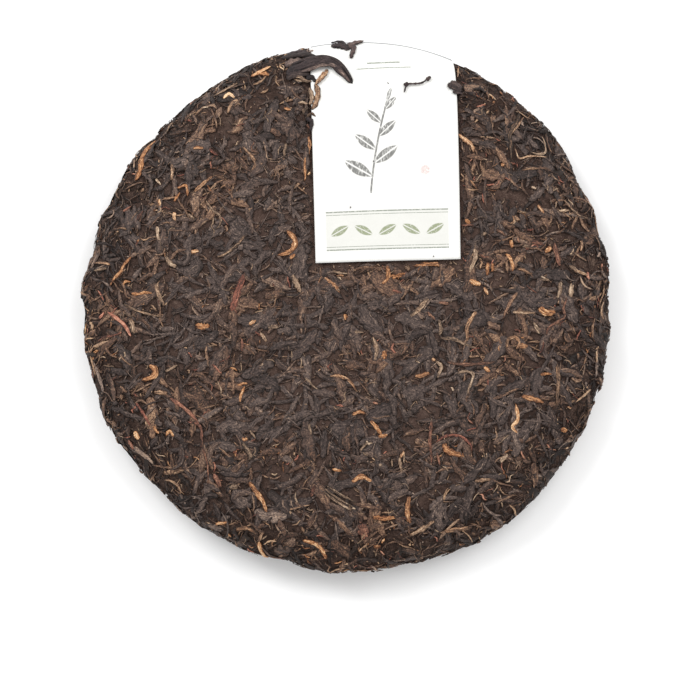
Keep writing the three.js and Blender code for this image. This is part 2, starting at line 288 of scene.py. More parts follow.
def clear_of_ticket(runs, turns, margin):
    """Cuts each path back to its part outside the ticket. Returns the paths and how much is left."""
    steps = runs.shape[1] - 1
    covered = inside_ticket(runs, turns) > -margin[:, None]
    first = np.where(covered.any(1), covered.argmax(1), steps + 1)
    last = np.where(covered.any(1), covered[:, ::-1].argmax(1), steps + 1)
    start = np.where(first >= last, 0, steps + 1 - last)
    stop = np.where(first >= last, first - 1, steps)
    left = np.clip((stop - start) / steps, 0, 1)
    at = start[:, None] + np.linspace(0, 1, steps + 1) * np.maximum(stop - start, 0)[:, None]
    low = np.clip(np.floor(at).astype(int), 0, steps - 1)
    part = at - low
    row = np.arange(len(runs))[:, None]
    runs, turns = (rows[row, low] * (1 - part) + rows[row, low + 1] * part for rows in (runs, turns))
    return runs, turns, left


def corners(shape):
    """The places of a bmesh's vertices."""
    return np.array([vertex.co for vertex in shape.verts])


def spindle(sides, rings):
    """A closed spindle of few faces: each vertex's ring and angle, and the faces."""
    shape = bmesh.new()
    bmesh.ops.create_uvsphere(shape, u_segments=sides, v_segments=rings, radius=1)
    places = corners(shape)
    ring = np.rint(np.arccos(np.clip(places[:, 2], -1, 1)) / math.pi * rings).astype(int)
    angle = np.arctan2(places[:, 1], places[:, 0])
    faces = [[vertex.index for vertex in face.verts] for face in shape.faces]
    shape.free()
    return ring, angle, faces


def strand_points(stations, leaf, ring, angle):
    """Bends a spindle along every path at once. Returns the points, their grain and their look."""
    runs, turns = stations
    rings = runs.shape[1] - 1
    line, normals = on_skin(runs, turns)
    line = line + normals * (leaf["bed"] * relief(line, runs, turns))[..., None]
    ahead = np.gradient(line, axis=1)
    side = np.cross(ahead, normals)
    side /= np.maximum(np.linalg.norm(side, axis=-1, keepdims=True), 1e-12)
    walked = np.cumsum(np.linalg.norm(np.diff(line, axis=1, prepend=line[:, :1]), axis=-1), axis=1)
    share = ring / rings
    each = {key: row[:, None] for key, row in leaf.items() if isinstance(row, np.ndarray)}
    round_end = np.sin(math.pi * np.linspace(0, 1, rings + 1)) ** leaf["bluntness"]
    taper = 1 - each["taper"] * share
    beats = 2 * math.pi * (each["beats"] * share + each["phase"])
    profile = round_end[ring] * taper * (1 + leaf["ragged"] * np.sin(beats))
    rolled = 1 + leaf["lobes"] * np.cos(2 * (angle + each["twist"] * share))
    wander = each["wander"] * np.sin(2 * math.pi * (1.3 * share + each["phase"]))
    half = profile * rolled / 2
    across = np.cos(angle) * each["width"] * half
    rise = each["lift"] + each["arch"] * np.sin(math.pi * share)
    above = rise + np.sin(angle) * each["thickness"] * half
    above += leaf["buckle"] * MM * np.sin(beats * 1.7 + 2 * np.cos(angle)) * profile
    pressed = each["ceiling"] + (above - each["ceiling"]) * leaf["spring"]
    above = np.where(above > each["ceiling"], pressed, above)
    sideways = (across + wander + each["shift"])[..., None]
    points = line[:, ring] + side[:, ring] * sideways + normals[:, ring] * above[..., None]
    low = points[..., 2] / FLOOR_PRESS
    points[..., 2] = np.where(low < 1, np.exp(np.minimum(low, 1) - 1), low) * FLOOR_PRESS
    own = each["phase"] + 0 * share
    grain = np.stack([walked[:, ring] / MM + 97 * own, across / MM + 53 * own, 31 * own], -1)
    # Painted shade: the tone darkens near the leaf's bottom, where it dips into the mass, the more so where
    # it lies loose.
    deep = np.clip(0.5 - (above - leaf["bottom"] * MM) / (0.5 * MM), 0, 1)
    tone = each["tone"] - leaf["fade"] * abs(2 * share - 1) ** 3
    shade = DEEP_PAINTED_SHADE * (1 - hard_pressed(runs)) + LOOSE_PAINTED_SHADE * looseness(runs)
    tone -= shade[:, ring] * deep
    # How near the vertex is to the leaf's edge or end, where the finish paints shade between the leaves.
    edge = np.maximum(abs(np.cos(angle)), 1 - round_end[ring])
    look = np.stack([tone, each["hue"] + 0 * own, edge + 0 * own], -1)
    return points, grain, look


def joined_mesh(name, faces, points, grain, look):
    """One mesh of many alike bodies. Each array holds a row of vertices for each body.

    Grain is where a vertex lies on its leaf, in millimetres. Look is the leaf's tone, with painted
    shade near its bottom, its hue, and how near the vertex is to the leaf's edge, where the finish
    paints shade.
    """
    count, size = points.shape[:2]
    loops = np.concatenate(faces)
    starts = np.cumsum([0] + [len(face) for face in faces[:-1]])
    offsets = np.arange(count)[:, None]
    mesh = bpy.data.meshes.new(name)
    mesh.vertices.add(count * size)
    mesh.vertices.foreach_set("co", points.astype(np.float32).ravel())
    mesh.loops.add(count * len(loops))
    mesh.loops.foreach_set("vertex_index", (offsets * size + loops).astype(np.int32).ravel())
    mesh.polygons.add(count * len(faces))
    mesh.polygons.foreach_set("loop_start", (offsets * len(loops) + starts).astype(np.int32).ravel())
    mesh.update(calc_edges=True)
    for title, values in (("grain", grain), ("look", look)):
        attribute = mesh.attributes.new(title, "FLOAT_VECTOR", "POINT")
        attribute.data.foreach_set("vector", values.astype(np.float32).ravel())
    mesh.shade_smooth()
    return shown(name, mesh)


def shown(name, data):
    """An object of a mesh, a camera or a light, in the scene."""
    thing = bpy.data.objects.new(name, data)
    bpy.context.scene.collection.objects.link(thing)
    return thing


def shaped(name, shape):
    """An object of a bmesh, which is used up."""
    mesh = bpy.data.meshes.new(name)
    shape.to_mesh(mesh)
    shape.free()
    mesh.shade_smooth()
    return shown(name, mesh)


# What the leaves of a kind share unless the kind says otherwise. Ranges are lowest and highest,
# tone and hue are a middle and a spread, and a ply lies its pitch, in widths, beside the next.
# Arch, wander, margin and buckle are in millimetres, a leaf has painted shade near its bottom
# height, and sunk is how far its middle lies below its top, in thicknesses. Spread is how much wider a
# leaf is in the middle of the face than at its outside. Patchy is how far its hue follows the warm and
# cool patches of the cake, and no leaf lies where that field is below its coolest.
COMMON = {
    "sides": 6, "rings": 9, "bluntness": 0.5, "taper": (0, 0.35), "ragged": 0.2, "beats": (1, 4),
    "twist": (-3, 3), "lobes": 0.12, "wander": 0.25, "flatness": (0.5, 0.8), "arch": (0, 0.15),
    "spring": 0.12, "bend": 70, "margin": 0.2, "tone": (0.45, 0.2), "hue": (0.3, 0.3),
    "plies": 1, "pitch": 0.8, "buckle": 0.0, "fade": 0.1, "bed": 1, "bottom": 0.1,
    "sunk": (0.25, 0.5), "spread": 0.0, "patchy": 0.4, "coolest": -9,
}
SHARED = ("bluntness", "ragged", "lobes", "spring", "buckle", "fade", "bed", "bottom")


def leaf_bodies(kind, draw, runs, turns, width, thickness, top, shift, tone, hue):
    """The points, grain and look of leaves of a kind along paths. The rest is drawn."""
    count = len(runs)
    ring, angle, _ = spindle(kind["sides"], kind["rings"])
    starts, _ = on_skin(runs[:, 0], turns[:, 0])
    loose, hard = looseness(runs[:, 0]), hard_pressed(runs[:, 0])
    tone = tone + 0.06 * patches(starts, PATCH_WAVES, seed=5)
    tone += draw.normal(0, 0.04 + 0.16 * loose) + 0.05 * loose
    tone += (CALM_TONE - tone) * CALM_SHARE * hard
    top = top * (1 - PRESSED_TOP * hard)
    hue = hue + kind["patchy"] * warm_patches(starts)
    hue += (CALM_HUE - hue) * kind["patchy"] * hard
    leaf = {key: kind[key] for key in SHARED}
    leaf |= {key: draw.uniform(*kind[key], count) for key in ("taper", "twist", "beats")}
    leaf |= {
        "width": width, "thickness": thickness, "ceiling": top, "shift": shift,
        "wander": draw.normal(0, kind["wander"], count) * MM, "phase": draw.random(count),
        "arch": draw.uniform(*kind["arch"], count) * MM,
        "lift": top - thickness * draw.uniform(*kind["sunk"], count),
        "tone": np.clip(tone, 0, 1.2), "hue": np.clip(hue, 0, 1),
    }
    return strand_points((runs, turns), leaf, ring, angle)


def leaves(name, material, seed, length, width, face=None, rim=None, back=None, slot="tea", **changes):
    """Lays many leaves of one kind over the skin as one piece.

    Face, rim and back each say how many leaves lie on a square centimetre there, and the lowest
    and highest tops of the leaves over the skin. Lengths, widths and heights are in millimetres,
    bends in degrees.
    """
    kind = {**COMMON, **changes}
    draw = np.random.default_rng(seed)
    plies = kind["plies"]
    parts = []
    for zone, layer in zip(ZONES, (face, rim, back)):
        if layer is None:
            continue
        density, *tops = layer
        low, high = np.interp(zone, RUNS, AREAS)
        bundles = int(density * (high - low) / CM**2)
        count = bundles * plies
        share = (np.arange(bundles) + draw.random(bundles)) / bundles
        path = {
            "run": np.interp(low + (high - low) * share, AREAS, RUNS),
            "turn": GOLDEN_ANGLE * np.arange(bundles) + draw.uniform(-0.4, 0.4, bundles) + seed,
            "heading": draw.uniform(0, 2 * math.pi, bundles),
            "length": draw.uniform(*length, bundles) * MM,
            "bend": np.radians(draw.normal(0, kind["bend"], bundles)),
        }
        tone, hue = (np.repeat(draw.normal(*kind[key], bundles), plies) for key in ("tone", "hue"))
        path = {key: np.repeat(row, plies) for key, row in path.items()}
        path["length"] = path["length"] * draw.uniform(0.7 if plies > 1 else 1, 1, count)
        spread = 1 + kind["spread"] * (hard_pressed(path["run"]) - USUAL_PRESS)
        wide = draw.uniform(*width, count) * MM * spread
        ply = np.tile(np.arange(plies) - (plies - 1) / 2, bundles)
        reach = wide / 2 + abs(ply) * wide * kind["pitch"]
        runs, turns = walk(path, kind["rings"])
        runs, turns, left = clear_of_ticket(runs, turns, kind["margin"] * MM + reach)
        thick = wide * draw.uniform(*kind["flatness"], count)
        top = draw.uniform(*tops, count) * MM
        kept = path["length"] * left > LEAST_SHARE * length[0] * MM
        kept &= warm_patches(on_skin(runs[:, 0], turns[:, 0])[0]) > kind["coolest"]
        rows = runs, turns, wide, thick, top, ply * wide * kind["pitch"], tone, hue
        parts.append(leaf_bodies(kind, draw, *(row[kept] for row in rows)))
    faces = spindle(kind["sides"], kind["rings"])[2]
    piece = joined_mesh(name, faces, *(np.concatenate(rows) for rows in zip(*parts)))
    return finished(piece, material)


def placed(name, material, seed, strands, slot="tea", top=0.5, **changes):
    """Lays strands where the photograph shows them, with their tops at a height over the skin.

    A strand is its width in millimetres and the pixels that it runs through.
    """
    kind = {
        **COMMON, "rings": 14, "sides": 8, "wander": 0.08, "taper": (0, 0.3), "fade": 0.2, "patchy": 0.1,
        "flatness": (0.3, 0.5), "ragged": 0.16, "beats": (2, 5), "bluntness": 0.35, **changes,
    }
    draw = np.random.default_rng(seed)
    count = len(strands)
    lines = np.array([smooth_line(pixels, kind["rings"]) for _, *pixels in strands])
    runs, turns = seen_at(lines)
    wide = np.array([width for width, *_ in strands]) * MM
    thick = wide * draw.uniform(*kind["flatness"], count)
    tone, hue = (draw.normal(*kind[key], count) for key in ("tone", "hue"))
    tops, shifts = np.full(count, top * MM), np.zeros(count)
    shape = leaf_bodies(kind, draw, runs, turns, wide, thick, tops, shifts, tone, hue)
    piece = joined_mesh(name, spindle(kind["sides"], kind["rings"])[2], *shape)
    return finished(piece, material)


def finished(piece, material):
    """Gives a piece its material and body."""
    piece.data.materials.append(material)
    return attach(piece, "root")


class Value:
    """A number that a material works out. Python's operators on it add Math nodes."""

    def __init__(self, finish, socket):
        self.finish, self.socket = finish, socket

    def math(self, operation, *others):
        inputs = dict(enumerate((self, *others)))
        return self.finish.node("Math", {"operation": operation}, inputs)

    __add__ = partialmethod(math, "ADD")
    __sub__ = partialmethod(math, "SUBTRACT")
    __mul__ = partialmethod(math, "MULTIPLY")
    __truediv__ = partialmethod(math, "DIVIDE")
    __gt__ = partialmethod(math, "GREATER_THAN")
    __lt__ = partialmethod(math, "LESS_THAN")
    __abs__ = partialmethod(math, "ABSOLUTE")
    most = partialmethod(math, "MAXIMUM")

    def step(self, low, high):
        """Rises smoothly from 0 to 1 between two values."""
        settings = {"interpolation_type": "SMOOTHSTEP"}
        return self.finish.node("MapRange", settings, {0: self, 1: low, 2: high})


class Finish:
    """A material as it is put together."""

    def __init__(self, name):
        self.material = bpy.data.materials.new(name)
        self.material.use_nodes = True
        self.tree = self.material.node_tree
        self.tree.nodes.clear()

    def node(self, kind, settings=None, inputs=None, output=0):
        """Adds a node of any kind: its settings first, then the values or links of its sockets."""
        node = self.tree.nodes.new("ShaderNode" + kind)
        for name, value in (settings or {}).items():
            if name == "stops":
                self.set_stops(node.color_ramp, value)
            else:
                setattr(node, name, value)
        for name, value in (inputs or {}).items():
            if isinstance(value, Value):
                self.tree.links.new(value.socket, node.inputs[name])
            else:
                node.inputs[name].default_value = value
        return Value(self, node.outputs[output]) if len(node.outputs) else None

    def set_stops(self, ramp, stops):
        while len(ramp.elements) < len(stops):
            ramp.elements.new(1)
        for element, (position, code) in zip(ramp.elements, stops):
            element.position, element.color = position, tint(code)

    def ramp(self, value, stops):
        """A colour that runs through stops, each a value and the screen colour there."""
        return self.node("ValToRGB", {"stops": stops}, {0: value})

    def mix(self, share, first, second, blend="MIX"):
        settings = {"data_type": "RGBA", "blend_type": blend}
        return self.node("Mix", settings, {0: share, 6: first, 7: second}, output=2)

    def place(self):
        """Where a point is in the row's frame."""
        return self.node("TexCoord", output=3)

    def parts(self, vector):
        """The three parts of a vector."""
        return [self.node("SeparateXYZ", {}, {0: vector}, output=i) for i in range(3)]

    def scaled(self, vector, scale):
        return self.node("Mapping", {}, {0: vector, 3: scale})

    def noise(self, vector, scale, detail=3.0, roughness=0.55, distortion=0.0):
        inputs = {"Vector": vector, "Scale": scale, "Detail": detail, "Roughness": roughness,
                  "Distortion": distortion}
        return self.node("TexNoise", {}, inputs)

    def bump(self, height, strength, distance):
        inputs = {"Strength": strength, "Distance": distance, "Height": height}
        return self.node("Bump", {}, inputs)

    def surface(self, colour, roughness, gloss, normal=None):
        """Ends the material in a Principled shader."""
        inputs = {"Base Color": colour, "Roughness": roughness, "Specular IOR Level": gloss}
        if normal:
            inputs["Normal"] = normal
        shader = self.node("BsdfPrincipled", {}, inputs)
        self.node("OutputMaterial", {}, {0: shader})
        return self.material


def tint(code):
    """A screen colour such as 0x8a6a48 as the linear colour that a shader takes."""
    levels = [(code >> shift & 255) / 255 for shift in (16, 8, 0)]
    return (*[v / 12.92 if v <= 0.04045 else ((v + 0.055) / 1.055) ** 2.4 for v in levels], 1)


def leaf_finish(name, cool, warm, streak=1.6, mottle=1.0, edge=0.3, roughness=(0.45, 0.85), crumple=0.35):
    """Dry tea leaf: streaks, strokes and creases along each leaf, mottles, and painted shade in the creases
    and at the edges.
    """
    finish = Finish(name)
    grain = finish.node("Attribute", {"attribute_name": "grain"}, output=1)
    look = finish.node("Attribute", {"attribute_name": "look"}, output=1)
    tone, hue, rim = finish.parts(look)
    place = finish.place()
    threads = finish.scaled(grain, (0.4, 2.4, 1))
    fibres = finish.noise(threads, 1.0, detail=4, roughness=0.65, distortion=0.6)
    strokes = finish.noise(finish.scaled(grain, (0.3, 2.1, 1)), 1.0, detail=2, distortion=0.8)
    creases = finish.noise(finish.scaled(grain, (0.25, 1.1, 1)), 1.0, detail=2, distortion=1.2)
    off_crease = abs(creases - 0.5)
    blotches = finish.noise(place, 330, detail=3)
    speckle = finish.noise(place, 1600, detail=4, roughness=0.85)
    shade = tone + (fibres - 0.5) * streak
    shade = shade + (blotches - 0.5) * mottle * 0.4 + (speckle - 0.5) * mottle * 2.2
    shade = shade + strokes.step(0.58, 0.7) * 0.2 * streak - strokes.step(0.42, 0.3) * 0.2 * streak
    # Painted shade: darker along the middle of each crease and towards each leaf's edge, between the
    # leaves.
    shade = shade - off_crease.step(0.05, 0.0) * 0.25 - rim.step(0.55, 1.0) * edge
    warmth = (hue + (blotches - 0.5) * 0.4 + strokes.step(0.56, 0.7) * 0.15).step(0.1, 0.9)
    colour = finish.mix(warmth, finish.ramp(shade, cool), finish.ramp(shade, warm))
    rough = fibres * (roughness[1] - roughness[0]) + roughness[0]
    height = fibres * 0.5 + speckle * 0.3 + strokes * 0.4 + off_crease * 2
    return finish.surface(colour, rough, 0.3, finish.bump(height, 1.0, crumple * MM))


def core_finish():
    """The deep of the pressed mass, between the leaves: dark, with fine broken leaf."""
    finish = Finish("pressed_mass")
    place = finish.place()
    clumps = finish.noise(place, 260, detail=4)
    shreds = finish.noise(place, 1100, detail=4, distortion=1.4)
    x, y, _ = finish.parts(place)
    outwards = ((x * x + y * y) / CAKE_RADIUS**2).step(0.3, 0.95)
    shade = shreds * 0.6 + clumps * 0.4
    colour = finish.mix(outwards, finish.ramp(shade, DEEP_MIDDLE), finish.ramp(shade, DEEP_OUTSIDE))
    return finish.surface(colour, 0.85, 0.2, finish.bump(shreds, 1.0, 0.5 * MM))


def core(material):
    """The pressed mass below the leaves: the solid's form, sunk a little, with fine relief."""
    shape = bmesh.new()
    bmesh.ops.create_icosphere(shape, subdivisions=7, radius=1)
    ball = corners(shape)
    run = np.interp((1 - ball[:, 2]) / 2 * AREAS[-1], AREAS, RUNS)
    turn = np.arctan2(ball[:, 1], ball[:, 0])
    points, normals = on_skin(run, turn)
    crags = np.array([noise.fractal(Vector(point) * 330, 0.8, 2.1, 4) for point in points])
    sunk = CORE_DEPTH * (1 - 0.25 * looseness(run) - 0.15 * hard_pressed(run))
    sunk -= np.clip(crags, -1, 1) * CRAG_HEIGHT
    depth = np.where(run > BACK_RUN, np.maximum(sunk, CORE_BACK_DEPTH), sunk)
    points += normals * (relief(points, run, turn) - depth)[:, None]
    points[:, 2] = np.maximum(points[:, 2], 0)
    for vertex, point in zip(shape.verts, points):
        vertex.co = point
    piece = finished(shaped("tea_core", shape), material)
    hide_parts("cake")


# Each palette is stops from dark to light.
DEEP_MIDDLE = ((0.3, 0x33251e), (0.45, 0x43332c), (0.55, 0x4f3e37), (0.7, 0x67564c))
DEEP_OUTSIDE = ((0.3, 0x140c09), (0.45, 0x2a1d17), (0.55, 0x41312a), (0.7, 0x6a584c))
CHARCOAL = ((0.0, 0x1a110d), (0.25, 0x382c28), (0.5, 0x4d403b), (0.75, 0x6d5b51), (1.0, 0xa38b7a))
BROWN = ((0.0, 0x22160f), (0.25, 0x473329), (0.5, 0x6b4e3d), (0.75, 0x8f7057), (1.0, 0xc09d7c))
PALE = ((0.0, 0x3b2b22), (0.35, 0x6e5847), (0.7, 0x9b8067), (1.0, 0xc8ac90))
GOLD = ((0.0, 0x321c10), (0.3, 0x71452a), (0.55, 0xa77148), (0.8, 0xcb9769), (1.0, 0xebcaa2))
TAN = ((0.0, 0x2b211a), (0.3, 0x5f4b3c), (0.55, 0x8c735e), (0.8, 0xb3987f), (1.0, 0xd6c1a6))
RED = ((0.0, 0x261612), (0.3, 0x5a362b), (0.55, 0x864f40), (0.8, 0xaf735c), (1.0, 0xd49e84))
PURPLE = ((0.0, 0x191314), (0.3, 0x332829), (0.6, 0x4c3d3b), (0.85, 0x6d5954), (1.0, 0x90796f))

core(core_finish())

flat_finish = leaf_finish("pressed_leaf", CHARCOAL, BROWN, streak=1.2, mottle=1.0, edge=0.25, crumple=0.12)
strand_finish = leaf_finish("rolled_leaf", CHARCOAL, BROWN, streak=1.4, mottle=0.8, edge=0.45)
vein_finish = leaf_finish("pale_vein", CHARCOAL, PALE, streak=1.2, edge=0.35)
gold_finish = leaf_finish("golden_tip", TAN, GOLD, streak=1.8, mottle=0.8, edge=0.35)
red_finish = leaf_finish("red_stalk", BROWN, RED, streak=1.5, mottle=0.8, edge=0.35)
loose_finish = leaf_finish("loose_leaf", CHARCOAL, PURPLE, streak=1.2, mottle=0.6, edge=0.2)

# How flat leaf is pressed.
FLAT = {
    "flatness": (0.2, 0.3), "bend": 35, "spring": 0.03, "lobes": 0.05, "ragged": 0.24,
    "twist": (-0.5, 0.5), "sunk": (0.0, 0.25),
}

leaves(
    "pressed_leaves", flat_finish, 11, length=(5, 14), width=(1.3, 3.9),
    face=(5.8, 0.12, 0.33), rim=(3.4, -0.3, 0.3), back=(1.4, -0.22, -0.04),
    **FLAT, tone=(0.44, 0.07), hue=(0.25, 0.24), rings=8, spread=0.2,
)
leaves(
    "back_leaves", flat_finish, 23, length=(5, 14), width=(1.5, 4.2),
    back=(3.4, -0.2, -0.03),
    **FLAT, tone=(0.46, 0.1), hue=(0.3, 0.26), sides=5, rings=6,
)
leaves(
    "broad_leaves", flat_finish, 21, length=(9, 17), width=(3.5, 6.5),
    face=(0.5, 0.2, 0.3), rim=(0.4, -0.1, 0.3), back=(0.2, -0.2, -0.05),
    flatness=(0.12, 0.18), bend=30, spring=0.03, lobes=0.08, ragged=0.2, twist=(-0.4, 0.4),
    sunk=(0.0, 0.2), tone=(0.44, 0.06), hue=(0.15, 0.15), sides=12, rings=14, bluntness=0.4,
    beats=(2, 5), spread=0.4,
)
leaves(
    "folded_leaves", strand_finish, 17, length=(4, 12), width=(0.4, 0.8),
    face=(1.3, 0.05, 0.34), rim=(1.9, -0.4, 0.35), back=(0.7, -0.3, -0.02),
    bend=55, tone=(0.48, 0.14), hue=(0.4, 0.3), sides=4, rings=7, plies=3, wander=0.12,
    flatness=(0.8, 1.2),
)
leaves(
    "deep_shreds", strand_finish, 18, length=(2, 7), width=(0.4, 1.1),
    face=(3, -0.25, 0.05), rim=(10, -0.4, 0.15), back=(2.5, -0.35, -0.1),
    bend=50, tone=(0.45, 0.2), hue=(0.45, 0.3), sides=4, rings=5,
)
leaves(
    "rolled_strands", strand_finish, 12, length=(5, 13), width=(0.6, 1.4),
    face=(1.5, 0.05, 0.38), rim=(3.4, -0.4, 0.5), back=(0.9, -0.25, -0.02),
    bend=60, tone=(0.47, 0.14), hue=(0.4, 0.28), sides=5,
)
leaves(
    "brown_strands", strand_finish, 13, length=(4, 12), width=(0.5, 1.2),
    face=(1.6, 0.1, 0.4), rim=(2.6, -0.3, 0.5), back=(0.7, -0.25, -0.02),
    bend=55, tone=(0.56, 0.16), hue=(0.8, 0.2), sides=5, rings=8,
)
leaves(
    "dark_slivers", strand_finish, 19, length=(1.5, 5), width=(0.2, 0.45),
    face=(2.4, 0.15, 0.38), rim=(5.5, -0.2, 0.4), back=(1.5, -0.2, -0.02),
    bend=45, tone=(0.1, 0.1), hue=(0.3, 0.3), sides=4, rings=5,
)
leaves(
    "rim_flakes", strand_finish, 20, length=(2, 6), width=(0.8, 2.2),
    rim=(2.0, 0.3, 0.95),
    flatness=(0.5, 0.75), bend=50, tone=(0.36, 0.16), hue=(0.3, 0.25), sides=5, rings=7,
    ragged=0.35, wander=0.4, twist=(-1, 1), sunk=(0.35, 0.55),
)
leaves(
    "pale_veins", vein_finish, 14, length=(1.5, 6), width=(0.3, 0.75),
    face=(3.0, 0.2, 0.42), rim=(3.2, -0.1, 0.36), back=(1.2, -0.12, -0.01),
    bend=55, tone=(0.5, 0.18), hue=(0.55, 0.3), sides=4, rings=6,
)
leaves(
    "golden_tips", gold_finish, 15, length=(1, 4.5), width=(0.45, 1.1), slot="golden_stem",
    face=(1.7, 0.2, 0.42), rim=(2.2, 0.0, 0.45), back=(0.8, -0.12, -0.01),
    bend=60, tone=(0.48, 0.15), hue=(0.5, 0.3), rings=6, sides=5, patchy=0.1, coolest=0.3,
)
leaves(
    "red_stalks", red_finish, 22, length=(1.5, 6), width=(0.4, 1.0),
    face=(1.4, 0.2, 0.42), rim=(1.4, 0.0, 0.42), back=(0.6, -0.12, -0.01),
    bend=50, tone=(0.5, 0.14), hue=(0.75, 0.25), rings=6, sides=5, patchy=0.1, coolest=0.1,
)
leaves(
    "leaf_crumbs", strand_finish, 16, length=(0.5, 1.9), width=(0.3, 0.9),
    face=(12, 0.0, 0.4), rim=(14, -0.3, 0.45), back=(4, -0.3, -0.02),
    bend=30, tone=(0.52, 0.26), hue=(0.5, 0.35), sides=4, rings=3, ragged=0.3,
)

# The strands that stand out in the photograph: width in millimetres, then the pixels of its line.
GOLDEN_STRANDS = [
    (2.7, (157, 138), (145, 157), (141, 171), (134, 181)), (1.5, (193, 148), (204, 148)),
    (1.5, (223, 99), (229, 94), (235, 98)), (2.4, (257, 73), (270, 75)), (2.0, (251, 78), (272, 68)),
    (1.7, (174, 212), (175, 221)), (1.4, (159, 199), (160, 206)), (1.2, (177, 188), (186, 186), (188, 197)),
    (1.2, (174, 202), (180, 192)), (2.2, (286, 230), (295, 240), (291, 251), (276, 256)),
    (1.5, (290, 259), (295, 254)), (1.2, (284, 108), (291, 110)), (1.4, (131, 294), (153, 293)),
    (1.5, (132, 256), (125, 264), (121, 273), (114, 279), (109, 287)), (2.7, (195, 326), (210, 326)),
    (1.5, (249, 325), (256, 320)), (1.3, (93, 360), (96, 353), (100, 350)), (1.4, (345, 314), (346, 320)),
    (2.2, (149, 365), (155, 369), (154, 376), (141, 381)), (1.2, (237, 385), (248, 383)),
    (1.2, (245, 386), (241, 395), (240, 403)), (2.4, (384, 350), (385, 360)),
    (1.3, (352, 415), (359, 412), (366, 414)), (1.8, (370, 420), (377, 428), (382, 436)),
    (1.8, (378, 437), (388, 435)), (1.5, (332, 469), (342, 471)), (2.2, (351, 482), (361, 477), (373, 481)),
    (1.6, (242, 439), (248, 440)), (2.2, (248, 481), (256, 492), (263, 502), (267, 514)),
    (2.0, (135, 431), (140, 439)), (1.4, (153, 426), (159, 434)), (1.4, (166, 436), (170, 431), (174, 437)),
    (1.3, (216, 523), (228, 521)), (1.8, (259, 539), (263, 550), (268, 561)), (1.9, (372, 518), (396, 518)),
    (1.8, (302, 540), (319, 546), (327, 559)), (2.2, (410, 495), (407, 512), (411, 524)),
    (1.4, (373, 546), (381, 546)), (2.0, (413, 266), (434, 264), (443, 267)),
    (1.9, (387, 263), (388, 277), (381, 285)), (1.7, (387, 279), (406, 273)),
    (1.6, (324, 277), (334, 285), (340, 295)), (2.5, (469, 280), (481, 285)), (1.5, (484, 287), (488, 295)),
    (1.9, (477, 310), (472, 318), (467, 329), (467, 343)), (1.7, (415, 377), (430, 373)),
    (1.4, (432, 358), (435, 361)), (1.6, (484, 367), (490, 372)), (3.0, (539, 306), (546, 313), (556, 311)),
    (1.2, (540, 374), (552, 374)), (2.0, (521, 396), (533, 399), (544, 403)),
    (1.6, (515, 403), (518, 419), (512, 427), (518, 434)), (3.0, (443, 443), (449, 451), (467, 457)),
    (2.2, (561, 429), (567, 431)), (1.6, (457, 133), (464, 139), (471, 145), (474, 153)),
    (1.5, (501, 166), (504, 164)), (1.6, (511, 240), (512, 248)), (2.0, (551, 247), (545, 253)),
    (1.4, (505, 254), (510, 258), (513, 266), (512, 272)), (1.4, (488, 262), (487, 276)),
    (1.4, (493, 263), (492, 272)), (1.3, (537, 205), (544, 214)), (1.5, (191, 252), (199, 251)),
    (1.6, (309, 136), (309, 155)), (1.6, (465, 219), (470, 224)), (2.4, (297, 61), (302, 63), (309, 62)),
]
